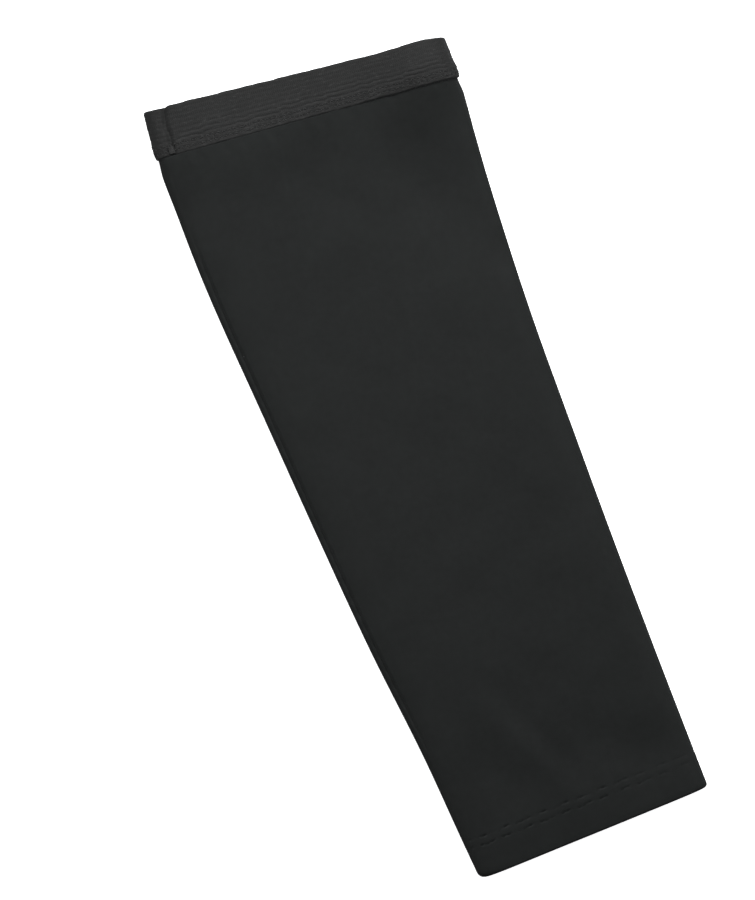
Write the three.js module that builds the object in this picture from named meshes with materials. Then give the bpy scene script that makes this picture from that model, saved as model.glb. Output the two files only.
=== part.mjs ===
// A calf compression sleeve lying flat: a tapered tube of stretch knit with a turned-up hem at the
// ankle, held at the top by a ribbed elastic band. Millimetres, +Y towards the band, +Z up.
import * as THREE from "three";

const { degToRad, lerp, smoothstep } = THREE.MathUtils;

// Driving dimensions
const SLEEVE_LENGTH = 350.5; // ankle edge to top edge, up the middle
const KNIT_THICK = 1; // one layer of the cloth
const HEM_DEPTH = 18; // cloth turned up inside the ankle end
const SEAM_DEPTH = 0.35; // groove that the side seam leaves in the cloth
const SEAM_HALF = 0.8; // half the width of that groove
const ELASTIC_WIDTH = 20;
const ELASTIC_THICK = 1; // without the ribs
const RIB_COUNT = 10;
const RIB_HEIGHT = 0.2;
const JOIN_AT = 7; // where the band's two ends meet, from the knit's left fold
const JOIN_DEPTH = 0.6;
const JOIN_HALF = 0.9;
const BAND_GAP = 0.25; // clearance between the elastic and the knit inside it
const BAND_LAP = 9; // how far the knit reaches up inside the elastic
const BAND_PROUD = 0.6; // how far the band stands out past the knit's folds below it
const NECK_RUN = 8; // length over which the knit draws in below the band
const NECK_PRESS = 1.4; // height that the knit loses there
const DOME = { square: 10, ease: 1.5 }; // powers that shape the upper layer from fold to fold
const WAVE_SQUARE = 24; // power that fades the waves out just before the folds
const CORNERS = { ankleLeft: 3.4, ankleRight: 1.7, topLeft: 1, topRight: 1.2 }; // rounding in plan
const MIDDLE = { across: -1.4, along: 179.6 }; // middle of the lying outline, taken as the origin

// Sections across the knit, from the ankle edge up. Shift moves a section's middle to the right and
// turn swings it clockwise, in degrees. Loft is its outer height, fold the outer radius of the side
// folds, and seam the distance of the side seam from the left fold.
const SECTIONS = [
  { along: 0, shift: 0, turn: -0.6, width: 105.9, loft: 9, fold: 2.4, seam: 3.4 },
  { along: 20, shift: -0.5, turn: -1.2, width: 107.2, loft: 8.9, fold: 2.2, seam: 3.2 },
  { along: 60, shift: -1.4, turn: -1.6, width: 109.8, loft: 8.5, fold: 1.8, seam: 2.8 },
  { along: 110, shift: -3.2, turn: -1.4, width: 115, loft: 8.3, fold: 1.7, seam: 2.6 },
  { along: 160, shift: -4, turn: -1.1, width: 119.1, loft: 8.2, fold: 1.7, seam: 2.6 },
  { along: 220, shift: -4.5, turn: 0, width: 123.8, loft: 8, fold: 1.7, seam: 2.8 },
  { along: 280, shift: -3.9, turn: 2.2, width: 130.4, loft: 8, fold: 2, seam: 2.9 },
  { along: 330, shift: -1.2, turn: 6.1, width: 134.2, loft: 8.3, fold: 2.8, seam: 3.7 },
  { along: SLEEVE_LENGTH, shift: 0, turn: 7.7, width: 132.9, loft: 8.3, fold: 2.7, seam: 3.7 },
];

// Soft dents and swells of the upper layer. Turn is the clockwise lie of the long way, in degrees,
// and long and wide are the distances over which a wave dies away.
const WAVES = [
  { what: "swell at the band's right end", across: 58, along: 333, turn: 0, long: 27, wide: 26, rise: 4 },
  { what: "low ground below it", across: 40, along: 280, turn: -20, long: 40, wide: 20, rise: -2.5 },
  { what: "dent by the right fold", across: 58, along: 246, turn: -30, long: 8, wide: 8, rise: -0.9 },
  { what: "slanting ridge", across: -13, along: 42, turn: -24, long: 27, wide: 5, rise: 0.45 },
  { what: "furrow right of the ridge", across: -4, along: 45, turn: -24, long: 27, wide: 5, rise: -0.45 },
  { what: "valley left of the ridge", across: -26, along: 38, turn: -24, long: 20, wide: 8, rise: -0.6 },
  { what: "fall towards the left fold", across: -38, along: 36, turn: -24, long: 24, wide: 14, rise: -0.4 },
  { what: "broad valley", across: 27, along: 30, turn: -68, long: 27, wide: 13, rise: -1.2 },
];

// How many facets each stretch has
const STEPS = { floor: 8, fold: 6, upper: 18, corner: 3, hem: 3, leg: 24, neck: 4, lap: 3, edge: 4 };

// Sizes that follow
const BAND_START = SLEEVE_LENGTH - ELASTIC_WIDTH;
const BAND_BUILD = BAND_GAP + ELASTIC_THICK + RIB_HEIGHT;
const NECK_IN = BAND_BUILD - BAND_PROUD;

// Values spread evenly from one end of a stretch to the other, both ends included
function spread(from, to, count) {
  return Array.from({ length: count + 1 }, (_, i) => lerp(from, to, i / count));
}

// Slope of one column of the section table at a row
function slopeAt(row, column) {
  const before = SECTIONS[Math.max(row - 1, 0)];
  const after = SECTIONS[Math.min(row + 1, SECTIONS.length - 1)];
  return (after[column] - before[column]) / (after.along - before.along);
}

// The section at any distance from the ankle edge, on a smooth curve through the table's rows
function sectionAt(along) {
  const high = Math.max(SECTIONS.findIndex((row) => row.along >= along), 1);
  const low = high - 1;
  const span = SECTIONS[high].along - SECTIONS[low].along;
  const t = (along - SECTIONS[low].along) / span;
  const section = { along };
  for (const column of ["shift", "turn", "width", "loft", "fold", "seam"]) {
    const [start, end] = [SECTIONS[low][column], SECTIONS[high][column]];
    const ease = start + (end - start) * t ** 2 * (3 - 2 * t);
    const bend = slopeAt(low, column) * t * (1 - t) ** 2 - slopeAt(high, column) * (1 - t) * t ** 2;
    section[column] = ease + bend * span;
  }
  return section;
}

// How much a corner of the given radius takes off a side, at a distance from the end edge
function cornerCut(distance, radius) {
  const short = Math.max(radius - distance, 0);
  return radius - Math.sqrt(radius ** 2 - short ** 2);
}

// Height that the waves add at a point of the plan
function waveRise(across, along) {
  return WAVES.reduce((sum, wave) => {
    const lie = degToRad(wave.turn);
    const away = { across: across - wave.across, along: along - wave.along };
    const sideways = away.across * Math.cos(lie) - away.along * Math.sin(lie);
    const lengthways = away.across * Math.sin(lie) + away.along * Math.cos(lie);
    return sum + wave.rise * Math.exp(-((sideways / wave.wide) ** 2) - (lengthways / wave.long) ** 2);
  }, 0);
}

// One closed ring of points round the tube, at a distance up the sleeve and an inset from the knit's
// outer face. Press is how deep the side seam and the band's join press into the upper layer there.
function ring(along, inset, press = { seam: 0, join: 0 }) {
  const section = sectionAt(along);
  const toTop = SLEEVE_LENGTH - along;
  const neck = smoothstep(along, BAND_START - NECK_RUN, BAND_START);
  const half = section.width / 2 - neck * NECK_IN;
  const left = half - cornerCut(along, CORNERS.ankleLeft) - cornerCut(toTop, CORNERS.topLeft);
  const right = half - cornerCut(along, CORNERS.ankleRight) - cornerCut(toTop, CORNERS.topRight);
  const radius = section.fold - inset;
  const floor = neck * BAND_BUILD + inset;
  const loft = section.loft - neck * NECK_PRESS - 2 * section.fold;
  const ends = { left: section.fold - left, right: right - section.fold };
  const swing = degToRad(section.turn);
  const points = [];

  function planOf(x) {
    return [section.shift + x * Math.cos(swing), along - x * Math.sin(swing)];
  }

  function place(x, z) {
    const [acrossPlan, alongPlan] = planOf(x);
    points.push([acrossPlan - MIDDLE.across, alongPlan - MIDDLE.along, z]);
  }

  function placeFold(x, side) {
    for (const angle of spread(0, Math.PI, STEPS.fold).slice(0, -1)) {
      place(x + side * radius * Math.sin(angle), floor + radius - side * radius * Math.cos(angle));
    }
  }

  function placeUpper(x, drop) {
    const reach = Math.abs(x) / (x < 0 ? -ends.left : ends.right);
    const swell = loft * (1 - reach ** DOME.square) ** DOME.ease;
    const wave = waveRise(...planOf(x)) * (1 - reach ** WAVE_SQUARE);
    place(x, floor + 2 * radius + swell + wave - drop);
  }

  function placeGroove(x, half, depth) {
    placeUpper(x + half, 0);
    placeUpper(x, depth);
    placeUpper(x - half, 0);
  }

  for (const x of spread(ends.left, ends.right, STEPS.floor).slice(0, -1)) {
    place(x, floor);
  }
  placeFold(ends.right, 1);
  for (const x of spread(ends.right, JOIN_AT + JOIN_HALF - left, STEPS.upper).slice(0, -1)) {
    placeUpper(x, 0);
  }
  placeGroove(JOIN_AT - left, JOIN_HALF, press.join);
  placeGroove(section.seam - left, SEAM_HALF, press.seam);
  placeFold(ends.left, -1);
  return points;
}

// A closed wall through a loop of rings: out along the outer face and back along the inner one
function wallThrough(rings) {
  const columns = rings[0].length;
  const index = [];
  rings.forEach((_, row) => {
    const next = (row + 1) % rings.length;
    for (let column = 0; column < columns; column += 1) {
      const side = (column + 1) % columns;
      const [a, b] = [row * columns + column, next * columns + column];
      const [c, d] = [next * columns + side, row * columns + side];
      index.push(a, b, c, a, c, d);
    }
  });
  const geometry = new THREE.BufferGeometry();
  geometry.setAttribute("position", new THREE.Float32BufferAttribute(rings.flat(2), 3));
  geometry.setIndex(index);
  geometry.computeVertexNormals();
  return geometry;
}

// The knit tube: outer face up to its cut edge inside the band, inner face down to the hem's raw edge,
// the turned-up layer, and the round edge where the cloth is turned
function knitGeometry() {
  const hem = [
    ...spread(KNIT_THICK, CORNERS.ankleLeft, STEPS.corner),
    ...spread(CORNERS.ankleLeft, HEM_DEPTH, STEPS.hem).slice(1),
  ];
  const leg = [
    ...spread(HEM_DEPTH, BAND_START - NECK_RUN, STEPS.leg),
    ...spread(BAND_START - NECK_RUN, BAND_START, STEPS.neck).slice(1),
    ...spread(BAND_START, BAND_START + BAND_LAP, STEPS.lap).slice(1),
  ];
  const outer = [...hem, ...leg.slice(1)];
  const turnedEdge = spread(0, Math.PI, STEPS.edge).slice(1, -1);
  return wallThrough([
    ...outer.map((along) => ring(along, 0, { seam: SEAM_DEPTH, join: 0 })),
    ...leg.toReversed().map((along) => ring(along, KNIT_THICK)),
    ...hem.toReversed().map((along) => ring(along, 2 * KNIT_THICK)),
    ...turnedEdge.map((angle) =>
      ring(KNIT_THICK * (1 - Math.sin(angle)), KNIT_THICK * (1 + Math.cos(angle))),
    ),
  ]);
}

// The elastic ring: ribs run round it, and a groove crosses it where its two ends are sewn together
function elasticGeometry() {
  const valley = -BAND_GAP - ELASTIC_THICK;
  const outer = spread(BAND_START, SLEEVE_LENGTH, 2 * RIB_COUNT);
  const inner = [
    ...spread(BAND_START, BAND_START + BAND_LAP, STEPS.lap),
    ...spread(BAND_START + BAND_LAP, SLEEVE_LENGTH - CORNERS.topRight, STEPS.lap).slice(1),
    ...spread(SLEEVE_LENGTH - CORNERS.topRight, SLEEVE_LENGTH, STEPS.corner).slice(1),
  ];
  return wallThrough([
    ...outer.map((along, i) => ring(along, valley - (i % 2) * RIB_HEIGHT, { seam: 0, join: JOIN_DEPTH })),
    ...inner.toReversed().map((along) => ring(along, -BAND_GAP)),
  ]);
}

function named(name, geometry, color, roughness) {
  const mesh = new THREE.Mesh(geometry, new THREE.MeshStandardMaterial({ color, roughness, metalness: 0 }));
  mesh.name = name;
  return mesh;
}

const sleeve = new THREE.Group();
sleeve.add(named("sleeve_body", knitGeometry(), 0x2b2d2c, 0.85));
sleeve.add(named("elastic_band", elasticGeometry(), 0x363636, 0.8));

export default sleeve;
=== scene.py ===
# %% [markdown]
# # A calf compression sleeve
# The sleeve is a tapered tube of black stretch knit. It lies flat, in two layers with a soft fold down
# each side. The ankle end is turned up and sewn as a hem, and a ribbed elastic band is sewn round the
# top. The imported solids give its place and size, so every piece below is built in the same frame:
# +Y runs from the hem to the band, +Z points up, and the floor is at z = 0.

# %% Load the frame
from collections import namedtuple

import bpy
import numpy as np
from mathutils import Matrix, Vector


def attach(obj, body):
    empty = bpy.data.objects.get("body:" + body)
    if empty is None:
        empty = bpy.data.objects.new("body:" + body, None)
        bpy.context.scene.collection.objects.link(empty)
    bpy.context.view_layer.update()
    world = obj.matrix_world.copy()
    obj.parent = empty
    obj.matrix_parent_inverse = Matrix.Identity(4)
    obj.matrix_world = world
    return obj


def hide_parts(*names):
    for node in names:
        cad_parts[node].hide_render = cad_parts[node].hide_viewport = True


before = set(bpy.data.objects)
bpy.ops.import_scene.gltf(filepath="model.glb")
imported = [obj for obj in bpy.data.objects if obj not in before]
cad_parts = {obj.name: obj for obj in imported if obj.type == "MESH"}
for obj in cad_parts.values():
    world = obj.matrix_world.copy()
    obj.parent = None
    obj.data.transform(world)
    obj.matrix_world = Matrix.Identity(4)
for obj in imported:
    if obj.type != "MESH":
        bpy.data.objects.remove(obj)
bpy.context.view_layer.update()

# %% [markdown]
# ## The shape of the tube
# Both pieces are the same tube at heart: a floor layer, a round fold at each side and a gently domed
# upper layer. A cloth simulation could drape a tube like this one, but a flat garment hardly moves, so
# a few measured sections and smooth curves between them give the true shape at once. The solids are
# built from the same sections.

# %% Driving sizes, in millimetres
METRES = 0.001  # one millimetre, in Blender's unit

SLEEVE_LENGTH = 350.5  # ankle edge to top edge, up the middle
KNIT_THICK = 1.0  # one layer of the cloth
HEM_DEPTH = 18.0  # cloth turned up inside the ankle end
ELASTIC_WIDTH = 20.0
ELASTIC_THICK = 1.0  # without the ribs
RIB_COUNT = 10
RIB_HEIGHT = 0.2
BAND_GAP = 0.25  # clearance between the elastic and the knit inside it
BAND_LAP = 9.0  # how far the knit reaches up inside the elastic
BAND_PROUD = 0.6  # how far the band stands out past the knit's folds below it
NECK_RUN = 8.0  # length over which the knit draws in below the band
NECK_PRESS = 1.4  # height that the knit loses there
DOME_SQUARE = 12.0  # power that shapes the upper layer from side to side
DENT_SQUARE = 24.0  # power that fades the dents and swells out towards the sides
CORNERS = {"ankle left": 3.4, "ankle right": 1.7, "top left": 1.0, "top right": 1.2}
MIDDLE_ACROSS = -1.4  # middle of the lying outline, which is the frame's origin
MIDDLE_ALONG = 179.6

BAND_START = SLEEVE_LENGTH - ELASTIC_WIDTH
LEG_END = BAND_START - NECK_RUN
BAND_BUILD = BAND_GAP + ELASTIC_THICK + RIB_HEIGHT
NECK_IN = BAND_BUILD - BAND_PROUD
print("the band starts", BAND_START, "mm up the sleeve and adds", BAND_BUILD, "mm to each layer")

# %% Sections across the knit
# Shift moves a section's middle to the right and turn swings it clockwise, in degrees. Loft is its
# outer height, fold the radius of the side folds, and seam the seam's distance from the left fold.
SECTIONS = np.array(
    [
        (0, 0, -0.6, 105.9, 9, 2.4, 3.4),
        (20, -0.5, -1.2, 107.2, 8.9, 2.2, 3.2),
        (60, -1.4, -1.6, 109.8, 8.5, 1.8, 2.8),
        (110, -3.2, -1.4, 115, 8.3, 1.7, 2.6),
        (160, -4, -1.1, 119.1, 8.2, 1.7, 2.6),
        (220, -4.5, 0, 123.8, 8, 1.7, 2.8),
        (280, -3.9, 2.2, 130.4, 8, 2, 2.9),
        (330, -1.2, 6.1, 134.2, 8.3, 2.8, 3.7),
        (SLEEVE_LENGTH, 0, 7.7, 132.9, 8.3, 2.7, 3.7),
    ],
    dtype=[(name, float) for name in ("along", "shift", "turn", "width", "loft", "fold", "seam")],
)


def section_at(along):
    """Every column of the table at any distance up the sleeve, on smooth curves through its rows."""
    rows = SECTIONS["along"]
    last = len(rows) - 1
    low = np.clip(np.searchsorted(rows, along) - 1, 0, last - 1)
    span = rows[low + 1] - rows[low]
    t = (along - rows[low]) / span
    before = np.maximum(np.arange(last + 1) - 1, 0)
    after = np.minimum(np.arange(last + 1) + 1, last)
    section = {}
    for name in SECTIONS.dtype.names[1:]:
        value = SECTIONS[name]
        slope = (value[after] - value[before]) / (rows[after] - rows[before])
        ease = value[low] + (value[low + 1] - value[low]) * t**2 * (3 - 2 * t)
        bend = slope[low] * t * (1 - t) ** 2 - slope[low + 1] * (1 - t) * t**2
        section[name] = ease + bend * span
    return section


print("width half way up:", round(float(section_at(np.array(SLEEVE_LENGTH / 2))["width"]), 1), "mm")

# %% [markdown]
# Cloth that lies loose is never a perfect dome. A handful of wide dents and swells follows the sleeve
# as it lies: a swell at the band's right end with low ground below it, a dent by the right fold, and
# above the hem a slanting ridge between two valleys with a broad valley to its right. Long faint ripples
# over the rest stop the upper layer from looking pressed.

# %% Dents, swells and ripples of the upper layer
# Turn is the clockwise lie of the long way, in degrees. Long and wide are the distances at which a wave
# has fallen to about a third of its height.
WAVES = np.array(
    [
        (58, 333, 0, 27, 26, 4),
        (40, 280, -20, 40, 20, -2.5),
        (58, 246, -30, 8, 8, -0.9),
        (-13, 42, -24, 27, 5, 0.45),
        (-4, 45, -24, 27, 5, -0.45),
        (-26, 38, -24, 20, 8, -0.6),
        (-38, 36, -24, 24, 14, -0.4),
        (27, 30, -68, 27, 13, -1.2),
    ],
    dtype=[(name, float) for name in ("across", "along", "turn", "long", "wide", "rise")],
)
# Each ripple has a length of wave, a lie in degrees and a height.
RIPPLES = [(61, 20, 0.1), (43, -35, 0.075), (37, 75, 0.065), (27, -70, 0.04), (19, 40, 0.025)]
RIPPLE_BEND = 4.0  # how far a ripple strays from its straight line


def wave_rise(across, along):
    """Height that the waves and ripples add at points of the plan."""
    rise = np.zeros(np.broadcast(across, along).shape)
    for wave in WAVES:
        lie = np.radians(wave["turn"])
        aside = across - wave["across"]
        ahead = along - wave["along"]
        sideways = aside * np.cos(lie) - ahead * np.sin(lie)
        lengthways = aside * np.sin(lie) + ahead * np.cos(lie)
        rise += wave["rise"] * np.exp(-((sideways / wave["wide"]) ** 2) - (lengthways / wave["long"]) ** 2)
    for length, lie, height in RIPPLES:
        way = across * np.cos(np.radians(lie)) + along * np.sin(np.radians(lie))
        bend = RIPPLE_BEND * np.sin(along / length + lie)
        rise += height * np.sin(2 * np.pi * (way + bend) / length)
    return rise


print("low ground below the band:", round(float(wave_rise(40.0, 280.0)), 2), "mm")

# %% [markdown]
# A ring of points is the basic stroke. It starts at the side seam, goes down over the left fold, along
# the floor, up over the right fold and back over the upper layer to the seam. Starting at the seam
# means that the knit's pattern is cut there, as it is on the real sleeve, and the closely spaced columns
# beside it leave room for the seam's groove and the band's join.

# %% Rings round the tube
SEAM_STRIP = 8.0  # width of the closely spaced columns beside the seam
STRETCHES = [
    ("upper", "seam", "left", 9),
    ("left fold", "left", "left", 12),
    ("floor", "left", "right", 48),
    ("right fold", "right", "right", 12),
    ("upper", "right", "strip", 138),
    ("upper", "strip", "seam", 24),
]
FOLD_TURN = {"upper": (1, 1), "floor": (0, 0), "left fold": (1, 0), "right fold": (0, 1)}
FOLD_SIDE = {"left fold": -1, "right fold": 1}

Rings = namedtuple("Rings", "points x left")


def smoothstep(value, low, high):
    t = np.clip((value - low) / (high - low), 0, 1)
    return t**2 * (3 - 2 * t)


def corner_cut(distance, radius):
    """How much a rounded corner takes off a side, at a distance from the end edge."""
    short = np.clip(radius - distance, 0, radius)
    return radius - np.sqrt(radius**2 - short**2)


def tube(along, inset=0.0):
    """Rings at the given distances up the sleeve, at an inset from the knit's outer face."""
    along = np.asarray(along, float).reshape(-1, 1)
    section = section_at(along)
    neck = smoothstep(along, LEG_END, BAND_START)
    to_top = SLEEVE_LENGTH - along
    half = section["width"] / 2 - neck * NECK_IN
    left = half - corner_cut(along, CORNERS["ankle left"]) - corner_cut(to_top, CORNERS["top left"])
    right = half - corner_cut(along, CORNERS["ankle right"]) - corner_cut(to_top, CORNERS["top right"])
    mark = {"left": section["fold"] - left, "right": right - section["fold"]}
    mark["seam"] = section["seam"] - left
    mark["strip"] = mark["seam"] + SEAM_STRIP

    x, angle, side = [], [], []
    for name, start, end, count in STRETCHES:
        t = np.arange(count) / count
        x.append(mark[start] + (mark[end] - mark[start]) * t)
        angle.append(np.pi * (FOLD_TURN[name][0] + np.diff(FOLD_TURN[name]) * t))
        side.append(np.full(count, FOLD_SIDE.get(name, 0)))
    x = np.hstack(x)
    angle, side = np.hstack(angle), np.hstack(side)
    upper = angle > np.pi / 2

    turn = np.radians(section["turn"])
    radius = section["fold"] - inset
    x = x + side * radius * np.sin(angle)
    reach = np.minimum(np.abs(x) / (radius + np.where(x < 0, -mark["left"], mark["right"])), 1)
    dome = (section["loft"] - neck * NECK_PRESS - 2 * section["fold"]) * (1 - reach**DOME_SQUARE)
    plan_across = section["shift"] + x * np.cos(turn)
    plan_along = along - x * np.sin(turn)
    wave = wave_rise(plan_across, plan_along) * (1 - reach**DENT_SQUARE)
    z = neck * BAND_BUILD + inset + radius * (1 - np.cos(angle)) + upper * (dome + wave)
    points = np.stack([plan_across - MIDDLE_ACROSS, plan_along - MIDDLE_ALONG, z], axis=2)
    return Rings(points, x, left)


def walk_round(points):
    """Distance round each ring from the seam to every column, and at last back to the seam."""
    steps = np.linalg.norm(np.roll(points, -1, axis=1) - points, axis=2)
    return np.hstack([np.zeros((len(points), 1)), np.cumsum(steps, axis=1)])


ends = walk_round(tube([1, BAND_START]).points)[:, -1]
print("round the ankle:", round(ends[0]), "mm, round the top:", round(ends[1]), "mm")

# %% [markdown]
# ## Meshes
# Each cloth piece is one closed wall: its rings run up the outer face, over an edge, down the inner face
# and over the other edge. Every quad corner also gets a flat-pattern coordinate in millimetres, round the
# tube and along it, so that stitches and yarns keep their real size wherever the cloth bends.

# %% Piece and wall helpers
FLAT_PATTERN = "flat_pattern"  # name of the UV map, in millimetres of cloth


def new_piece(name, vertices, faces, pattern):
    """A smooth mesh piece on the part's one body, from vertices in millimetres."""
    mesh = bpy.data.meshes.new(name)
    mesh.from_pydata((np.asarray(vertices) * METRES).tolist(), [], faces)
    uv_map = mesh.uv_layers.new(name=FLAT_PATTERN)
    uv_map.data.foreach_set("uv", np.asarray(pattern, np.float32).ravel())
    mesh.polygons.foreach_set("use_smooth", np.ones(len(mesh.polygons), bool))
    mesh.validate()
    piece = bpy.data.objects.new(name, mesh)
    bpy.context.scene.collection.objects.link(piece)
    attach(piece, "root")
    print(name, "has", len(mesh.vertices), "vertices and", len(mesh.polygons), "faces")
    return piece


def new_wall(name, points, along):
    """A closed wall through a loop of rings."""
    rows, columns = points.shape[:2]
    index = np.arange(rows * columns).reshape(rows, columns)
    beyond = np.roll(index, -1, axis=0)
    quads = np.stack([index, beyond, np.roll(beyond, -1, axis=1), np.roll(index, -1, axis=1)], axis=2)
    walk = walk_round(points)
    around = walk - walk[:, -1:] / 2
    up = np.broadcast_to(np.asarray(along, float).reshape(-1, 1), around.shape)
    flat = np.stack([around, up], axis=2)
    flat_beyond = np.roll(flat, -1, axis=0)
    corners = [flat[:, :-1], flat_beyond[:, :-1], flat_beyond[:, 1:], flat[:, 1:]]
    pattern = np.stack(corners, axis=2).reshape(-1, 2)
    return new_piece(name, points.reshape(-1, 3), quads.reshape(-1, 4).tolist(), pattern)


# %% [markdown]
# ## The knit tube
# The side seam shows as a narrow groove just inside the left fold, with the cloth slightly puckered
# beside it. Twin-needle stitching holds the hem: each of its two rows draws the cloth down, a little more
# here and a little less there, and the strip between them stands up. Towards the band the cloth rises to
# the elastic's outer face, and it tucks in behind the elastic's edge. These small forms are pressed into
# the outer face ring by ring, because a cut that follows the stitches is simplest while the rings are
# still arrays.

# %% Grooves that the sewing leaves in the knit
SEAM_GROOVE = 0.55  # depth of the groove, and half its width
SEAM_HALF = 0.8
SEAM_STARTS = (45.0, 100.0)  # distances up over which the groove begins to show
SEAM_ENDS = (282.0, 302.0)  # distances up over which it fades out below the band
SEAM_PUCKER = 0.1  # height of the pucker beside it
PUCKER_PITCH = 7.0
PUCKER_DRIFT = 61.0  # distance over which that pitch drifts
PUCKER_HALF = 3.5  # how far the pucker reaches to each side
# Each hem row has its distance up at the middle and its slope to the right.
HEM_ROWS = {"upper": (16.9, -0.016), "lower": (13.3, -0.018)}
HEM_WANDER = 0.7  # how far a row strays from its straight line, from side to side
HEM_WANDER_PITCH = 14.0
HEM_PULL_PITCH = 9.0  # distance over which tight and loose stitches change places
HEM_LOOSE = 0.3  # values of the wander between which a stitch goes from loose to tight
HEM_TIGHT = 0.8
HEM_SLACK = 0.6  # how much less the stitches pull at the right
HEM_SLACKENS = (-5.0, 50.0)  # distances across over which they slacken
HEM_TAKES_HOLD = (-53.0, -46.0)  # distances across over which they start to pull, by the left fold
STITCH_PITCH = 2.5
NEEDLE_GROOVE = 0.4  # depth of a row's groove, and half its width
NEEDLE_HALF = 0.45
TUNNEL = 0.04  # how far the cloth stands up between the rows
TUNNEL_HALF = 1.2
GATHER = 1.5  # how far the cloth rises to meet the band's outer face
GATHER_UNEVEN = 0.2  # share of that rise that comes and goes round the sleeve
GATHER_PITCH = 11.0
GATHER_EASE = 0.5  # how much less it rises at the right
GATHER_EASES = (0.0, 40.0)  # distances across over which it does so
GATHER_SIDES = (-5.0, 6.0)  # distances in from a fold over which the rise builds up
GATHER_RUN = 26.0  # length over which the cloth rises
TUCK = 0.4  # how far it reaches past the band's edge before it drops behind the elastic


def slow_wander(distance, pitch):
    """A smooth value from 0 to 1 that wanders with distance and never quite repeats."""
    turns = 2 * np.pi * distance / pitch
    return 0.5 + 0.28 * np.sin(turns) + 0.22 * np.sin(1.618 * turns + 1.3)


def hem_row(row, x):
    """Distance of a row of hem stitches from the ankle edge."""
    middle, slope = HEM_ROWS[row]
    return middle + slope * x + HEM_WANDER * (slow_wander(x + 3 * middle, HEM_WANDER_PITCH) - 0.5)


def hem_pull(middle, around, x):
    """How hard a row of hem stitches pulls, from 0 to 1: less at the right and on the left fold."""
    pull = smoothstep(slow_wander(around + 5 * middle, HEM_PULL_PITCH), HEM_LOOSE, HEM_TIGHT)
    return pull * (1 - HEM_SLACK * smoothstep(x, *HEM_SLACKENS)) * smoothstep(x, *HEM_TAKES_HOLD)


def knit_press(along, rings):
    """How deep the sewing presses into the knit's outer face."""
    walk = walk_round(rings.points)
    around = walk[:, :-1]
    from_seam = np.minimum(around, walk[:, -1:] - around)
    pucker = np.sin(2 * np.pi * along / PUCKER_PITCH + 2 * slow_wander(along, PUCKER_DRIFT))
    press = SEAM_GROOVE * np.exp(-((from_seam / SEAM_HALF) ** 2))
    press = press + SEAM_PUCKER * pucker * np.exp(-((from_seam / PUCKER_HALF) ** 2))
    press = press * smoothstep(along, *SEAM_STARTS) * (1 - smoothstep(along, *SEAM_ENDS))
    for row, (middle, _) in HEM_ROWS.items():
        off = along - hem_row(row, rings.x)
        stitch = 0.6 + 0.4 * np.cos(2 * np.pi * around / STITCH_PITCH)
        pull = hem_pull(middle, around, rings.x)
        press += NEEDLE_GROOVE * pull * stitch * np.exp(-((off / NEEDLE_HALF) ** 2))
    between = along - (hem_row("upper", rings.x) + hem_row("lower", rings.x)) / 2
    press = press - TUNNEL * np.exp(-((between / TUNNEL_HALF) ** 2))
    right = rings.x.max(axis=1, keepdims=True) - rings.x
    left = rings.x - rings.x.min(axis=1, keepdims=True)
    gathers = 1 - GATHER_UNEVEN + GATHER_UNEVEN * slow_wander(around, GATHER_PITCH)
    gathers = gathers * (1 - GATHER_EASE * smoothstep(rings.x, *GATHER_EASES))
    gathers = gathers * smoothstep(np.minimum(left, right), *GATHER_SIDES)
    gathers = gathers * smoothstep(along, BAND_START - GATHER_RUN, BAND_START)
    return press - GATHER * gathers * smoothstep(BAND_START - along, -TUCK, -TUCK / 3)


print("seam groove:", SEAM_GROOVE, "mm deep, needle grooves:", NEEDLE_GROOVE, "mm")

# %% Knit tube
HEM_FINE = (11.0, 19.5)  # finely spaced rings lie between these, round the hem's stitches
EDGE_STEP = 0.6  # distance between rings below the stitches, round them and above them
HEM_STEP = 0.28
LEG_STEP = 2.2
TUCK_FINE = BAND_START - 1  # the closest rings start here, just below the band's edge


def knit_tube():
    outer = np.concatenate(
        [
            np.arange(KNIT_THICK, HEM_FINE[0], EDGE_STEP),
            np.arange(*HEM_FINE, HEM_STEP),
            np.arange(HEM_FINE[1], LEG_END, LEG_STEP),
            np.linspace(LEG_END, TUCK_FINE, 13)[:-1],
            np.linspace(TUCK_FINE, BAND_START + TUCK, 15),
            np.linspace(BAND_START + TUCK, BAND_START + BAND_LAP, 5)[1:],
        ]
    )
    inner = np.linspace(BAND_START + BAND_LAP, HEM_DEPTH, 48)
    turned_up = np.linspace(HEM_DEPTH, KNIT_THICK, 10)
    edge = np.linspace(0, np.pi, 9)[1:-1]
    along = np.concatenate([outer, inner, turned_up, KNIT_THICK * (1 - np.sin(edge))])[:, None]
    layers = [0 * outer, 0 * inner + 1, 0 * turned_up + 2, 1 + np.cos(edge)]
    inset = KNIT_THICK * np.concatenate(layers)[:, None]
    press = knit_press(along, tube(along, inset)) * (inset < KNIT_THICK / 2)
    points = tube(along, inset + press).points
    points[:, :, 2] = np.maximum(points[:, :, 2], 0)
    return new_wall("knit_tube", points, along)


knit = knit_tube()
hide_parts("sleeve_body")

# %% [markdown]
# ## The elastic band
# The band is woven elastic with ribs that run round it. Its two ends meet near the left fold in a seam
# that shows as a dark groove with a notch at the top edge, and the end on the left sits a little lower.
# Sewing it to the knit has made the lower ribs sway, and has left small bumps on the folds. A rib is a
# rounded crest between two narrow valleys, so a power of a sine gives its profile.

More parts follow.
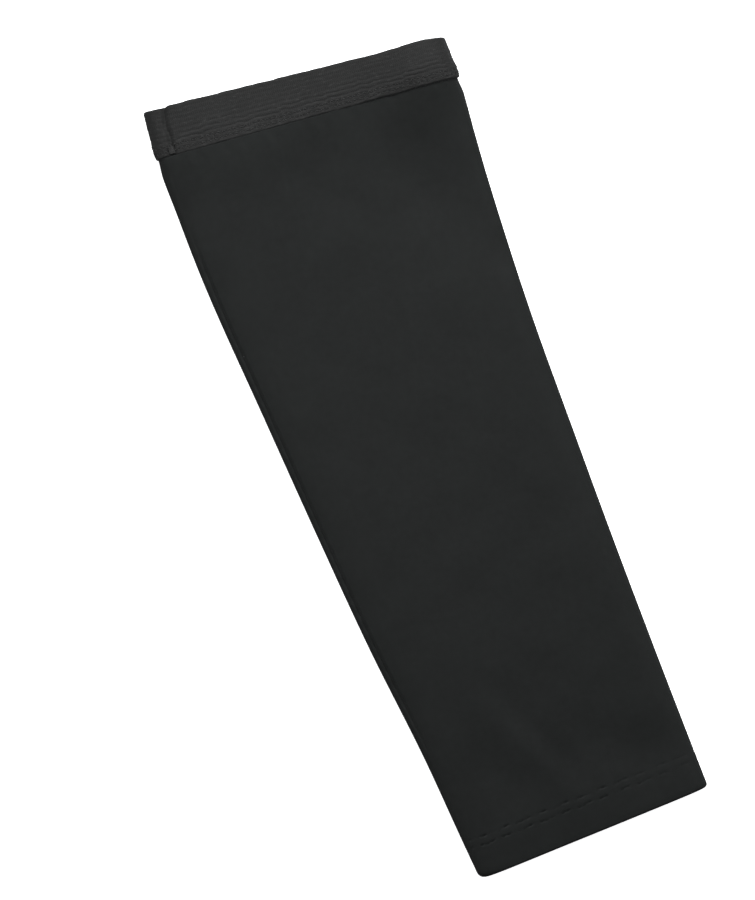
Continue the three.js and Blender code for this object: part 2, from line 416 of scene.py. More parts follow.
# %% Elastic band
RIB_PITCH = ELASTIC_WIDTH / RIB_COUNT
RIB_POWER = 0.6
RIB_SWAY = 0.55  # how far the lower ribs sway up and down
SWAY_PITCHES = (11.0, 5.0)  # distances over which they do so
SWAY_SHORT = 0.6  # strength of the shorter sway, as a share of the longer one's
SWAY_LEAST = 0.2  # share of the sway that the upper ribs have
RIB_LOW = 0.6  # least height of a rib along its length, as a share, and how much it varies
RIB_VARIES = 0.7
RIB_DRIFT = 31.0  # distance over which it varies
RIB_FLAT = 0.3  # height of the stretched upper ribs, as a share of the lower ones'
RIB_FLATTENS = (6.0, 13.0)  # distances up the band between the lower ribs and the stretched ones
RIB_FADE = 0.8  # distance from each edge over which the ribs fade out
JOIN_TOP = 7.7  # distance of the join from the knit's left fold, at the top and the bottom of the band
JOIN_BOTTOM = 6.4
JOIN_DEPTH = 0.95  # depth of its groove, and half the width
JOIN_HALF = 1.2
JOIN_BEND = 0.45  # how far the join's line swings from side to side
TAB_DROP = 0.45  # how far the left end sits lower
TAB_FROM = 9.0  # distance up the band from which it does so
NOTCH = 0.6  # depth of the notch at the top of the join, and half its width
NOTCH_HALF = 0.9
EDGE_WAVER = 0.22  # unevenness of the two woven edges
WAVER_PITCHES = (23.0, 8.0)
FOLD_BUMPS = [(3.0, 0.3), (5.6, 0.35), (13.5, 0.12)]  # distance up the band, height
BUMP_TALL = 1.1  # half the size of a bump, up the band and across
BUMP_WIDE = 1.6
TOP_BULGE = 0.9  # how far the top edge swells up near the right fold
BULGE_PLACE = 10.0  # distance of the middle of that swelling from the fold
BULGE_HALF = 9.0
BULGE_FROM = 6.0  # distance up the band from which it swells


def join_offset(along, rings):
    """Distance across from the join's line to each column of the upper layer, and far from it below."""
    up = smoothstep(along, BAND_START, SLEEVE_LENGTH)
    line = JOIN_BOTTOM + (JOIN_TOP - JOIN_BOTTOM) * up + JOIN_BEND * np.sin(2 * np.pi * up)
    offset = rings.x + rings.left - line
    on_upper = rings.points[:, :, 2] > BAND_BUILD + SECTIONS["fold"][-1]
    return np.where(on_upper, offset, ELASTIC_WIDTH)


def elastic_rise(along, rings):
    """How far the ribs and bumps stand up from the elastic's outer face, less the join's groove."""
    up = along - BAND_START
    around = walk_round(rings.points)[:, :-1]
    low = 1 - smoothstep(up, *RIB_FLATTENS)
    sway = slow_wander(around, SWAY_PITCHES[0]) + SWAY_SHORT * slow_wander(around, SWAY_PITCHES[1])
    sway = RIB_SWAY * (sway - (1 + SWAY_SHORT) / 2) * (SWAY_LEAST + low)
    crest = np.abs(np.sin(np.pi * (up + sway) / RIB_PITCH)) ** RIB_POWER
    edge = smoothstep(up, 0, RIB_FADE) * smoothstep(ELASTIC_WIDTH - up, 0, RIB_FADE)
    uneven = RIB_LOW + RIB_VARIES * slow_wander(around + 3 * up, RIB_DRIFT)
    rise = RIB_HEIGHT * (RIB_FLAT + (1 - RIB_FLAT) * low) * uneven * crest * edge
    beside = np.minimum(np.abs(rings.x - rings.x.max(1, keepdims=True)), rings.x + rings.left + 1)
    for height, bump in FOLD_BUMPS:
        rise += bump * np.exp(-(((up - height) / BUMP_TALL) ** 2) - (beside / BUMP_WIDE) ** 2)
    return rise - JOIN_DEPTH * np.exp(-((join_offset(along, rings) / JOIN_HALF) ** 2))


def elastic_band():
    round_edge = ELASTIC_THICK / 2
    face = np.linspace(BAND_START + round_edge, SLEEVE_LENGTH - round_edge, 8 * RIB_COUNT + 1)
    inside = np.linspace(SLEEVE_LENGTH - round_edge, BAND_START + round_edge, 14)
    edge = np.linspace(0, np.pi, 8)[1:-1]
    top = SLEEVE_LENGTH - round_edge * (1 - np.sin(edge))
    bottom = BAND_START + round_edge * (1 - np.sin(edge))
    along = np.concatenate([face, top, inside, bottom])[:, None]
    depth = [0 * face, round_edge * (1 - np.cos(edge)), 0 * inside + ELASTIC_THICK]
    depth = np.concatenate(depth + [round_edge * (1 + np.cos(edge))])[:, None]
    inset = depth - BAND_GAP - ELASTIC_THICK
    plain = tube(along, inset)
    points = tube(along, inset - elastic_rise(along, plain) * (depth < ELASTIC_THICK)).points

    up = along - BAND_START
    around = walk_round(plain.points)[:, :-1]
    offset = join_offset(along, plain)
    tab = TAB_DROP * (1 - smoothstep(offset, -1, 1)) + NOTCH * np.exp(-((offset / NOTCH_HALF) ** 2))
    waver = sum(EDGE_WAVER * (slow_wander(around, pitch) - 0.5) for pitch in WAVER_PITCHES)
    from_bulge = plain.x - plain.x.max(axis=1, keepdims=True) + BULGE_PLACE
    bulge = TOP_BULGE * np.exp(-((from_bulge / BULGE_HALF) ** 2))
    drop = tab * smoothstep(up, TAB_FROM, ELASTIC_WIDTH)
    swell = bulge * smoothstep(up, BULGE_FROM, ELASTIC_WIDTH)
    points[:, :, 1] += waver - drop + swell
    points[:, :, 2] = np.maximum(points[:, :, 2], 0)
    return new_wall("elastic_band_ribbed", points, along)


elastic = elastic_band()
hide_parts("elastic_band")

# %% [markdown]
# ## Thread
# The stitches are real thread. A stitch comes up out of the cloth, lies over it and goes down again, so
# each one is a short tube whose ends dip below the surface. To lay them, a point is found on the tube
# from its distance up the sleeve and round it, together with the direction that faces out there.

# %% Points on the tube, and thread through them
THREAD_RADIUS = 0.13
THREAD_SIDES = 6
FLOOR_SKIN = 0.02  # no thread goes lower than this, since the cloth rests on the floor
FEEL = 0.3  # how far to each side of a point the cloth is felt for its slope


def on_tube(along, around, inset):
    """Points on the tube and their outward directions."""
    rings = tube(along, inset).points
    walk = walk_round(rings)
    closed = np.concatenate([rings, rings[:, :1]], axis=1)

    def at(distance):
        place = distance % walk[:, -1]
        return np.array(
            [
                [np.interp(place[i], walk[i], closed[i, :, axis]) for axis in range(3)]
                for i in range(len(closed))
            ]
        )

    tangent = at(around + FEEL) - at(around - FEEL)
    out = np.cross(np.array([0.0, 1.0, 0.0]), tangent)
    return at(around), out / np.linalg.norm(out, axis=1, keepdims=True)


def thread_tubes(name, runs, radius=THREAD_RADIUS):
    """One mesh of thread through every run of points, each given with its outward directions."""
    vertices, faces, pattern = [], [], []
    turn = 2 * np.pi * np.arange(THREAD_SIDES) / THREAD_SIDES
    count = 0
    for points, out, is_loop in runs:
        length = len(points)
        if is_loop:
            ahead = np.roll(points, -1, axis=0) - np.roll(points, 1, axis=0)
        else:
            ahead = np.gradient(points, axis=0)
        side = np.cross(ahead, out)
        side /= np.linalg.norm(side, axis=1, keepdims=True)
        over = np.cross(side, ahead)
        over /= np.linalg.norm(over, axis=1, keepdims=True)
        ring = np.cos(turn)[None, :, None] * side[:, None] + np.sin(turn)[None, :, None] * over[:, None]
        ring = points[:, None] + radius * ring
        ring[:, :, 2] = np.maximum(ring[:, :, 2], FLOOR_SKIN)
        index = count + np.arange(length * THREAD_SIDES).reshape(length, THREAD_SIDES)
        beyond = np.roll(index, -1, axis=0)
        quads = np.stack([index, np.roll(index, -1, axis=1), np.roll(beyond, -1, axis=1), beyond], axis=2)
        quads = quads if is_loop else quads[:-1]
        walked = np.cumsum(np.linalg.norm(ahead, axis=1)) / 2
        for row, strip in enumerate(quads):
            for column, quad in enumerate(strip.tolist()):
                faces.append(quad)
                low, high = walked[row], walked[(row + 1) % length]
                pattern += [(column, low), (column + 1, low), (column + 1, high), (column, high)]
        if not is_loop:
            faces += [index[0][::-1].tolist(), index[-1].tolist()]
            pattern += [(0, 0)] * (2 * THREAD_SIDES)
        vertices.append(ring.reshape(-1, 3))
        count += length * THREAD_SIDES
    return new_piece(name, np.concatenate(vertices), faces, pattern)


# %% [markdown]
# ### Hem stitches
# Two needles sew the hem at once. Outside, they leave two rows of short straight stitches, and inside,
# one looper thread zigzags between the rows and covers the raw edge.

# %% Hem stitches
STITCH_GAP = 0.5  # cloth that shows between two stitches
# Heights of the thread over the cloth, from one end of a stitch to the other.
STITCH_ARCH = np.array([-0.22, 0.02, 0.12, 0.15, 0.12, 0.02, -0.22])
STITCH_SINK = 0.1  # how far a loose stitch sinks into the cloth
COVER_LIFT = 0.3  # how far the looper thread stands off the cloth inside
ZIGZAG_POINTS = 4  # points from one corner of a zigzag to the next
CORNER_DIP = 0.2  # how deep its corners dip at least, as a share of its lift
SWING_DRIFT = 17.0  # distances over which its swing and its height vary
LIFT_DRIFT = 11.0


def ring_length(along, inset):
    return float(walk_round(tube([along], inset).points)[0, -1])


def across_at(along, around, inset):
    """How far across the sleeve the points at these distances round a ring lie."""
    rings = tube([along], inset)
    walk = walk_round(rings.points)[0]
    return np.interp(around, walk, np.append(rings.x[0], rings.x[0, 0]))


def straight_stitches(row):
    """Short stitches of one hem row, as runs of points."""
    middle = HEM_ROWS[row][0]
    sunk = NEEDLE_GROOVE / 2
    total = ring_length(middle, sunk)
    count = round(total / STITCH_PITCH)
    pitch = total / count
    start = np.arange(count)[:, None] * pitch
    lie = np.linspace(STITCH_GAP / 2, pitch - STITCH_GAP / 2, len(STITCH_ARCH))
    around = (start + lie).ravel()
    along = hem_row(row, across_at(middle, around, sunk))
    points, out = on_tube(along, around, sunk)
    sink = STITCH_SINK * (1 - hem_pull(middle, start, across_at(middle, start, sunk)))
    points = points + out * (STITCH_ARCH - sink).reshape(-1, 1)
    shape = (count, len(STITCH_ARCH), 3)
    return [(run, face, False) for run, face in zip(points.reshape(shape), out.reshape(shape))]


def zigzag(middle, slope, swing, pitch, inset, lift, inward=False):
    """One closed run of thread that zigzags round the tube and dips at every corner."""
    total = ring_length(middle, inset)
    corners = 2 * round(total / pitch)
    step = np.arange(ZIGZAG_POINTS * corners) / ZIGZAG_POINTS
    around = step * total / corners
    sweep = 2 * np.abs((step / 2) % 1 - 0.5)
    uneven = 0.5 + slow_wander(around, SWING_DRIFT)
    along = middle + slope * across_at(middle, around, inset) + swing * uneven * (2 * sweep - 1)
    points, out = on_tube(along, around, inset)
    out = -out if inward else out
    dip = CORNER_DIP + 0.5 * slow_wander(around, LIFT_DRIFT)
    height = lift * (np.abs(np.sin(np.pi * step)) - dip)
    return points + out * height[:, None], out, True


def hem_stitches():
    upper_middle, upper_slope = HEM_ROWS["upper"]
    lower_middle, lower_slope = HEM_ROWS["lower"]
    cover = zigzag(
        middle=(upper_middle + lower_middle) / 2,
        slope=(upper_slope + lower_slope) / 2,
        swing=(upper_middle - lower_middle) / 2,
        pitch=STITCH_PITCH,
        inset=2 * KNIT_THICK,
        lift=COVER_LIFT,
        inward=True,
    )
    runs = straight_stitches("upper") + straight_stitches("lower")
    return thread_tubes("hem_stitches", runs + [cover])


hem_thread = hem_stitches()

# %% [markdown]
# ### Band stitches
# The elastic is sewn on with two rows of zigzag, which can stretch with it. They sit close to its lower
# edge, and a dense bar tack holds the join where the sewing starts and ends.

# %% Band stitches
BAND_ROWS = (2.0, 4.1)  # distance of each row from the band's lower edge
ZIGZAG_SWING = 0.7
ZIGZAG_PITCH = 2.4
ZIGZAG_LIFT = 0.22
BAND_THREAD = 0.16  # radius of the thicker thread used here
BAR_TACK_LIFT = 0.2
TACK_FROM = 1.0  # lowest and highest pass of the bar tack, from the band's lower edge
TACK_TO = 3.9
TACK_HALF = 1.5  # half the length of a pass
TACK_PASSES = 12
TACK_STEP = 0.2  # share of a pass between two points
BAND_FACE = -BAND_GAP - ELASTIC_THICK - 0.6 * RIB_HEIGHT  # inset of the ribs' mean height


def bar_tack():
    """Dense zigzag across the lower end of the join."""
    step = np.arange(0, TACK_PASSES, TACK_STEP)
    rows = TACK_FROM + (TACK_TO - TACK_FROM) * step / TACK_PASSES
    rings = tube(BAND_START + rows, BAND_FACE)
    walk = walk_round(rings.points)
    target = JOIN_BOTTOM + TACK_HALF * (4 * np.abs((step / 2) % 1 - 0.5) - 1)
    strip = STRETCHES[-1][-1]
    from_fold = (rings.x + rings.left)[:, -strip:]
    walked = walk[:, -strip - 1 : -1]
    around = [np.interp(target[i], from_fold[i, ::-1], walked[i, ::-1]) for i in range(len(step))]
    points, out = on_tube(BAND_START + rows, np.array(around), BAND_FACE)
    return points + BAR_TACK_LIFT * out, out, False


def band_stitches():
    rows = [
        zigzag(BAND_START + up, 0, ZIGZAG_SWING, ZIGZAG_PITCH, BAND_FACE, ZIGZAG_LIFT)
        for up in BAND_ROWS
    ]
    return thread_tubes("band_stitches", rows + [bar_tack()], radius=BAND_THREAD)


band_thread = band_stitches()

# %% [markdown]
# ## Materials
# All four materials are black dyed yarn, and each is one rough Principled BSDF with a low specular
# level, since black cloth has hardly any shine. What they share is a node group: uneven dye, fibre fuzz
# and a few specks of lint. What sets them apart is the height that feeds their bump: knit loops, woven
# yarns or twisted thread.

# %% Node helpers
def add_node(tree, kind, inputs=None, **settings):
    """A node with its settings made, and each input set to a value or linked to a socket."""
    node = tree.nodes.new(kind)
    for name, value in settings.items():
        setattr(node, name, value)
    for name, value in (inputs or {}).items():
        if isinstance(value, bpy.types.NodeSocket):
            tree.links.new(value, node.inputs[name])
        else:
            node.inputs[name].default_value = value
    return node


def calculate(tree, operation, *values):
    """The output of a Math node."""
    return add_node(tree, "ShaderNodeMath", dict(enumerate(values)), operation=operation).outputs[0]


# %% [markdown]
# ### Dyed yarn
# The group takes the flat pattern in millimetres, so its noise has real sizes: dye that varies over a few
# centimetres, streaks along the wales, fuzz finer than a stitch, and one speck of lint in some of the
# cells of a Voronoi pattern.

# %% Dyed yarn group
LINT_COLOUR = (0.14, 0.14, 0.14, 1)
LINT_CELLS = 0.07  # cells in each millimetre, some of which hold a speck
LINT_SIZE = 0.017  # radius of a speck, in cells
MIX_MEAN = 1.2  # mean of the four noises that make the dye uneven, as weighted below


def dyed_yarn_group():
    tree = bpy.data.node_groups.new("dyed_yarn", "ShaderNodeTree")
    for name, kind in (
        ("Dye", "NodeSocketColor"),
        ("Pattern", "NodeSocketVector"),
        ("Unevenness", "NodeSocketFloat"),
        ("Lint", "NodeSocketFloat"),
    ):
        tree.interface.new_socket(name=name, in_out="INPUT", socket_type=kind)
    tree.interface.new_socket(name="Colour", in_out="OUTPUT", socket_type="NodeSocketColor")
    tree.interface.new_socket(name="Fuzz", in_out="OUTPUT", socket_type="NodeSocketFloat")
    given = tree.nodes.new("NodeGroupInput").outputs
    result = tree.nodes.new("NodeGroupOutput").inputs

    def noise(scale, detail, stretch=(1, 1, 1)):
        mapped = {"Vector": given["Pattern"], "Scale": stretch}
        place = add_node(tree, "ShaderNodeMapping", mapped).outputs[0]
        settings = {"Vector": place, "Scale": scale, "Detail": detail, "Roughness": 0.55}
        return add_node(tree, "ShaderNodeTexNoise", settings).outputs["Fac"]

    broad = noise(0.045, 3)
    mottle = noise(0.3, 2)
    streaks = noise(0.8, 2, (1, 0.03, 1))
    fuzz = noise(2.6, 3)
    mixed = calculate(tree, "MULTIPLY_ADD", broad, 0.9, calculate(tree, "MULTIPLY", streaks, 0.2))
    mixed = calculate(tree, "MULTIPLY_ADD", mottle, 0.7, mixed)
    mixed = calculate(tree, "MULTIPLY_ADD", fuzz, 0.6, mixed)
    uneven = calculate(tree, "SUBTRACT", mixed, MIX_MEAN)
    shade = calculate(tree, "MULTIPLY_ADD", uneven, given["Unevenness"], 1.0)
    dyed = add_node(tree, "ShaderNodeVectorMath", {0: given["Dye"], 1: shade}, operation="MULTIPLY")

    specks = add_node(tree, "ShaderNodeTexVoronoi", {"Vector": given["Pattern"], "Scale": LINT_CELLS})
    near = calculate(tree, "LESS_THAN", specks.outputs["Distance"], LINT_SIZE)
    chance = add_node(tree, "ShaderNodeSeparateColor", {"Color": specks.outputs["Color"]}).outputs[0]
    speck = calculate(tree, "MULTIPLY", near, calculate(tree, "LESS_THAN", chance, given["Lint"]))
    linted = add_node(
        tree,
        "ShaderNodeMix",
        {"Factor": speck, "A": dyed.outputs[0], "B": LINT_COLOUR},
        data_type="RGBA",
    )
    tree.links.new(linted.outputs["Result"], result["Colour"])
    tree.links.new(fuzz, result["Fuzz"])
    return tree


DYED_YARN = dyed_yarn_group()
print("group", DYED_YARN.name, "has", len(DYED_YARN.nodes), "nodes")

# %% Cloth material helper
FUZZ_ROUGHNESS = 0.2  # how much the roughness varies with the fuzz


def cloth_material(name, dye, unevenness, lint, roughness, shader):
    """A material with the shared yarn group and its flat pattern. Fuzzier spots of it are rougher."""
    material = bpy.data.materials.new(name)
    material.use_nodes = True
    tree = material.node_tree
    principled = tree.nodes["Principled BSDF"]
    for socket, value in shader.items():
        principled.inputs[socket].default_value = value
    flat = add_node(tree, "ShaderNodeUVMap", uv_map=FLAT_PATTERN).outputs[0]
    yarn = add_node(tree, "ShaderNodeGroup", node_tree=DYED_YARN)
    tree.links.new(flat, yarn.inputs["Pattern"])
    yarn.inputs["Dye"].default_value = (*dye, 1)
    yarn.inputs["Unevenness"].default_value = unevenness
    yarn.inputs["Lint"].default_value = lint
    tree.links.new(yarn.outputs["Colour"], principled.inputs["Base Color"])
    fuzz = yarn.outputs["Fuzz"]
    dull = calculate(tree, "MULTIPLY_ADD", fuzz, FUZZ_ROUGHNESS, roughness - FUZZ_ROUGHNESS / 2)
    tree.links.new(dull, principled.inputs["Roughness"])
    return material, tree, flat, fuzz


def finish_bump(tree, height, fuzz, fuzz_share, strength, distance):
    """Adds the fuzz to a height and feeds both to the shader as bump."""
    rough = calculate(tree, "MULTIPLY_ADD", fuzz, fuzz_share, height)
    bump = add_node(tree, "ShaderNodeBump", {"Height": rough, "Strength": strength, "Distance": distance})
    tree.links.new(bump.outputs["Normal"], tree.nodes["Principled BSDF"].inputs["Normal"])


# %% [markdown]
# ### Knit
# A jersey face shows columns of little Vs, the wales. A V is two legs that lean towards each other, so
# the height is a rounded leg across, times a bulge along that starts later the further it is from the
# middle of the wale.

# %% Knit material
WALE = 0.62  # width of a column of loops, and height of one loop
COURSE = 0.46
LEG_LEAN = -1.6  # how much later a loop's bulge starts for each wale away from the middle
KNIT_DYE = (0.0066, 0.0075, 0.0073)


def knit_material():
    shader = {"Specular IOR Level": 0.11, "Sheen Weight": 0.02, "Sheen Roughness": 0.45}
    material, tree, flat, fuzz = cloth_material(
        "black_knit", KNIT_DYE, unevenness=0.5, lint=0.05, roughness=0.62, shader=shader
    )
    place = add_node(tree, "ShaderNodeSeparateXYZ", {0: flat}).outputs
    in_wale = calculate(tree, "FRACT", calculate(tree, "DIVIDE", place["X"], WALE))
    from_middle = calculate(tree, "ABSOLUTE", calculate(tree, "SUBTRACT", in_wale, 0.5))
    leg = calculate(tree, "SINE", calculate(tree, "MULTIPLY", from_middle, 2 * np.pi))
    course = calculate(tree, "DIVIDE", place["Y"], COURSE)
    course = calculate(tree, "MULTIPLY_ADD", from_middle, LEG_LEAN, course)
    bulge = calculate(tree, "SINE", calculate(tree, "MULTIPLY", calculate(tree, "FRACT", course), np.pi))
    loop = calculate(tree, "MULTIPLY", leg, calculate(tree, "MULTIPLY_ADD", bulge, 0.6, 0.4))
    finish_bump(tree, loop, fuzz, fuzz_share=0.6, strength=0.5, distance=0.00012)
    return material


knit.data.materials.append(knit_material())
print("wales per centimetre:", round(10 / WALE), "courses per centimetre:", round(10 / COURSE))

# %% [markdown]
# ### Elastic
# The ribs are already in the mesh. The weave on them is a row of short yarns across each rib, and the
# yarns of one rib sit between those of the next.

# %% Elastic material
CROSS_YARN = 0.85  # width of a yarn across a rib
ELASTIC_DYE = (0.0067, 0.0069, 0.0068)
FLECK = (0.018, 0.018, 0.018)  # colour of lighter patches, spread by a stretched noise
FLECK_FROM = 0.56  # values of the noise between which a spot goes from dyed to lighter
FLECK_TO = 0.74


def elastic_material():
    shader = {"Specular IOR Level": 0.17, "Sheen Weight": 0.05, "Sheen Roughness": 0.4}
    material, tree, flat, fuzz = cloth_material(
        "charcoal_elastic", ELASTIC_DYE, unevenness=0.5, lint=0.25, roughness=0.62, shader=shader
    )
    place = add_node(tree, "ShaderNodeSeparateXYZ", {0: flat}).outputs
    rib = calculate(tree, "FLOOR", calculate(tree, "DIVIDE", place["Y"], RIB_PITCH))
    along = calculate(tree, "MULTIPLY_ADD", rib, 0.5, calculate(tree, "DIVIDE", place["X"], CROSS_YARN))
    along = calculate(tree, "MULTIPLY_ADD", fuzz, 0.9, along)
    yarn = calculate(tree, "ABSOLUTE", calculate(tree, "SINE", calculate(tree, "MULTIPLY", along, np.pi)))
    weave = calculate(tree, "MULTIPLY", yarn, 0.5)
    finish_bump(tree, weave, fuzz, fuzz_share=1.6, strength=0.5, distance=0.00016)

    stretched = add_node(tree, "ShaderNodeMapping", {"Vector": flat, "Scale": (0.5, 1.5, 1)}).outputs[0]
    patches = {"Vector": stretched, "Scale": 1.0, "Detail": 2}
    patchy = add_node(tree, "ShaderNodeTexNoise", patches).outputs["Fac"]
    fleck_range = {"Value": patchy, "From Min": FLECK_FROM, "From Max": FLECK_TO}
    fleck = add_node(tree, "ShaderNodeMapRange", fleck_range)
    principled = tree.nodes["Principled BSDF"]
    dyed = principled.inputs["Base Color"].links[0].from_socket
    flecked = add_node(
        tree,
        "ShaderNodeMix",
        {"Factor": fleck.outputs[0], "A": dyed, "B": (*FLECK, 1)},
        data_type="RGBA",
    )
    tree.links.new(flecked.outputs["Result"], principled.inputs["Base Color"])
    return material


elastic.data.materials.append(elastic_material())
print("rib pitch:", RIB_PITCH, "mm, cross yarns:", CROSS_YARN, "mm")

# %% [markdown]
# ### Thread
# Sewing thread is two plies twisted together. Along the flat pattern of a thread, one direction counts
# the sides of the tube and the other is its length, so a slanting sine is the twist.

# %% Thread material
TWIST = 1.8  # twists of the plies in each millimetre
# The hem thread is dyed darker than the knit: partly its own black, and partly painted shade of the
# dimples that its stitches pull into the cloth.
HEM_THREAD_DYE_AND_SHADE = (0.0042, 0.0047, 0.0046)
# The band thread is dyed lighter than the hem thread: partly its own colour, and partly a painted
# highlight of the shine on its satiny thread.
BAND_THREAD_DYE_AND_HIGHLIGHT = (0.014, 0.0142, 0.0141)


def thread_material(name, dye, roughness, gloss):
    shader = {"Specular IOR Level": gloss}
    material, tree, flat, fuzz = cloth_material(
        name, dye, unevenness=0.4, lint=0.0, roughness=roughness, shader=shader
    )
    place = add_node(tree, "ShaderNodeSeparateXYZ", {0: flat}).outputs
    round_once = calculate(tree, "DIVIDE", place["X"], THREAD_SIDES)
    twist = calculate(tree, "MULTIPLY_ADD", place["Y"], TWIST, round_once)
    turned = calculate(tree, "SINE", calculate(tree, "MULTIPLY", twist, 2 * np.pi))
    ply = calculate(tree, "ABSOLUTE", turned)
    finish_bump(tree, ply, fuzz, fuzz_share=0.3, strength=0.5, distance=0.00006)
    return material


# The hem thread's darker dye is partly painted shade.
black_thread_and_shade = thread_material("black_thread_and_shade", HEM_THREAD_DYE_AND_SHADE, roughness=0.6, gloss=0.06)
# The band thread's lighter dye is partly a painted highlight.
charcoal_thread_and_highlight = thread_material("charcoal_thread_and_highlight", BAND_THREAD_DYE_AND_HIGHLIGHT, roughness=0.45, gloss=0.2)
hem_thread.data.materials.append(black_thread_and_shade)
band_thread.data.materials.append(charcoal_thread_and_highlight)
print("hem thread is", 2 * THREAD_RADIUS, "mm thick, band thread", 2 * BAND_THREAD, "mm")

# %% [markdown]
# ## What the cloth was cut from
# A sleeve starts as a flat panel: its width is the way round the tube, and its length is the sleeve's
# with the hem's turn-up. The elastic starts as a plain length of band. Below are the panel's width at
# the top and at the ankle, and the band's length round.

PANEL_WIDE = ring_length(BAND_START, 0) * METRES
PANEL_NARROW = ring_length(KNIT_THICK, 0) * METRES
BAND_ROUND = ring_length(SLEEVE_LENGTH - ELASTIC_WIDTH / 2, -BAND_GAP - ELASTIC_THICK) * METRES

# %% [markdown]
# ## Floor and light
# The floor is plain and pale. It glows enough to read as white, and it doesn't light the sleeve, so the
# folds end in a crisp edge. One large soft light stands beyond the band, so slopes that face the hem are
# darker and the hem end is darker than the top. Two weak lights stand low beside the sleeve and fill its
# folds. A small light overhead and a pale world, brighter at the picture's upper right, do the rest.

# %% Floor
PICTURE_TURN = np.radians(21.63)  # how far the sleeve leans in the picture
PICTURE_UP = Vector((np.sin(PICTURE_TURN), np.cos(PICTURE_TURN), 0))
PICTURE_RIGHT = Vector((np.cos(PICTURE_TURN), -np.sin(PICTURE_TURN), 0))
FLOOR_HALF = 3.0
FLOOR_TINTS = ((0.86, 0.87, 0.865, 1), (0.89, 0.9, 0.895, 1))
FLOOR_GLOW = 0.9  # light of the floor's own, which keeps the shadow on it faint


def studio_floor():
    mesh = bpy.data.meshes.new("studio_floor")
    h = FLOOR_HALF
    mesh.from_pydata([(-h, -h, 0), (h, -h, 0), (h, h, 0), (-h, h, 0)], [], [(0, 1, 2, 3)])
    floor = bpy.data.objects.new("studio_floor", mesh)
    bpy.context.scene.collection.objects.link(floor)
    material = bpy.data.materials.new("pale_floor")
    material.use_nodes = True
    tree = material.node_tree
    principled = tree.nodes["Principled BSDF"]
    principled.inputs["Roughness"].default_value = 0.9
    principled.inputs["Specular IOR Level"].default_value = 0.1
    principled.inputs["Emission Color"].default_value = (1, 1, 1, 1)
    principled.inputs["Emission Strength"].default_value = FLOOR_GLOW
    place = add_node(tree, "ShaderNodeTexCoord").outputs["Object"]
    cloudy = add_node(tree, "ShaderNodeTexNoise", {"Vector": place, "Scale": 3.0}).outputs["Fac"]
    tint = add_node(
        tree,
        "ShaderNodeMix",
        {"Factor": cloudy, "A": FLOOR_TINTS[0], "B": FLOOR_TINTS[1]},
        data_type="RGBA",
    )
    tree.links.new(tint.outputs["Result"], principled.inputs["Base Color"])
    mesh.materials.append(material)
    floor.visible_diffuse = False
    floor.visible_glossy = False


studio_floor()
print("floor:", 2 * FLOOR_HALF, "m square")

# %% Lights
KEY_PLACE = Vector((0.27, 1.12, 0.88))  # beyond the band, in metres
OVERHEAD_PLACE = 0.12 * PICTURE_UP + Vector((0, 0, 0.45))  # above the upper half
SIDE_AWAY = 1.25  # distance of the two low lights that fill the folds, and their height
SIDE_HIGH = 0.27


def soft_light(name, place, size, power):
    """A round soft light that points at the middle of the sleeve."""
    lamp = bpy.data.lights.new(name, "AREA")
    lamp.shape = "DISK"
    lamp.size = size
    lamp.energy = power
    light = bpy.data.objects.new(name, lamp)
    light.location = place
    light.rotation_euler = (-place).to_track_quat("-Z", "Y").to_euler()
    light.visible_camera = False
    bpy.context.scene.collection.objects.link(light)


soft_light("key", KEY_PLACE, size=0.78, power=33)
soft_light("overhead", OVERHEAD_PLACE, size=0.3, power=0.85)
soft_light("left_fill", Vector((-SIDE_AWAY, 0, SIDE_HIGH)), size=0.5, power=5)
soft_light("right_fill", Vector((SIDE_AWAY, 0, SIDE_HIGH)), size=0.5, power=4.5)
print("key light at", [round(value, 2) for value in KEY_PLACE])

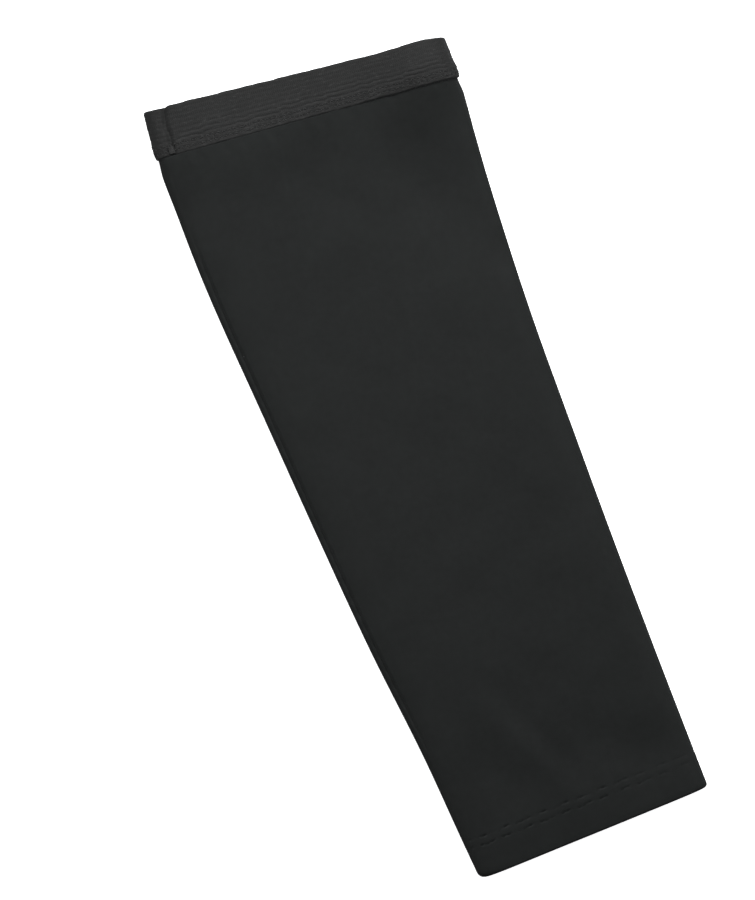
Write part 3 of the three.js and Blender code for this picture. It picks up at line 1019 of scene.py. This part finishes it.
# %% World
WORLD_COLOUR = (0.97, 0.985, 1, 1)
WORLD_DARK = 0.1  # strength of the world at the lower left of the picture
WORLD_BRIGHT = 0.56  # and at the upper right
WORLD_SET = -1.5  # its strength rises from none at this height to full at the next, the zenith being 1
WORLD_RISE = 0.15
WORLD_LEAN = 0.6  # how far the bright side leans to the right of the picture


def pale_world():
    world = bpy.data.worlds.new("pale_studio")
    world.use_nodes = True
    tree = world.node_tree
    background = tree.nodes["Background"]
    background.inputs["Color"].default_value = WORLD_COLOUR
    towards = add_node(tree, "ShaderNodeTexCoord").outputs["Generated"]
    bright_way = (PICTURE_UP + WORLD_LEAN * PICTURE_RIGHT).normalized()
    ways = {0: towards, 1: bright_way}
    facing = add_node(tree, "ShaderNodeVectorMath", ways, operation="DOT_PRODUCT").outputs["Value"]
    spread = {"Value": facing, "From Min": -1, "From Max": 1, "To Min": WORLD_DARK, "To Max": WORLD_BRIGHT}
    strength = add_node(tree, "ShaderNodeMapRange", spread).outputs[0]
    height = add_node(tree, "ShaderNodeSeparateXYZ", {0: towards}).outputs["Z"]
    rising = {"Value": height, "From Min": WORLD_SET, "From Max": WORLD_RISE}
    above = add_node(tree, "ShaderNodeMapRange", rising).outputs[0]
    tree.links.new(calculate(tree, "MULTIPLY", strength, above), background.inputs["Strength"])
    return world


bpy.context.scene.world = pale_world()
print("world strength:", WORLD_DARK, "to", WORLD_BRIGHT)

# %% [markdown]
# ## Camera
# The picture is taken from straight above with a long lens. A millimetre of the sleeve is the same size
# all over such a picture, so the frame's height in millimetres and the camera's height give the lens.

# %% Camera
FRAME_TALL = 387.0  # millimetres of floor from the bottom to the top of the picture
LOOK_AT = Vector((-0.0245, 0.0078, 0.0024))  # middle of the picture, at the height of the side folds
CAMERA_HEIGHT = 2.6

camera = bpy.data.objects.new("camera", bpy.data.cameras.new("camera"))
camera.data.sensor_width = 36
camera.data.lens = camera.data.sensor_width * CAMERA_HEIGHT / (FRAME_TALL * METRES)
camera.location = LOOK_AT + Vector((0, 0, CAMERA_HEIGHT))
camera.rotation_euler = (0, 0, -PICTURE_TURN)
bpy.context.scene.collection.objects.link(camera)
bpy.context.scene.camera = camera
bpy.context.scene.view_settings.view_transform = "Standard"
print("lens:", round(camera.data.lens, 1), "mm")
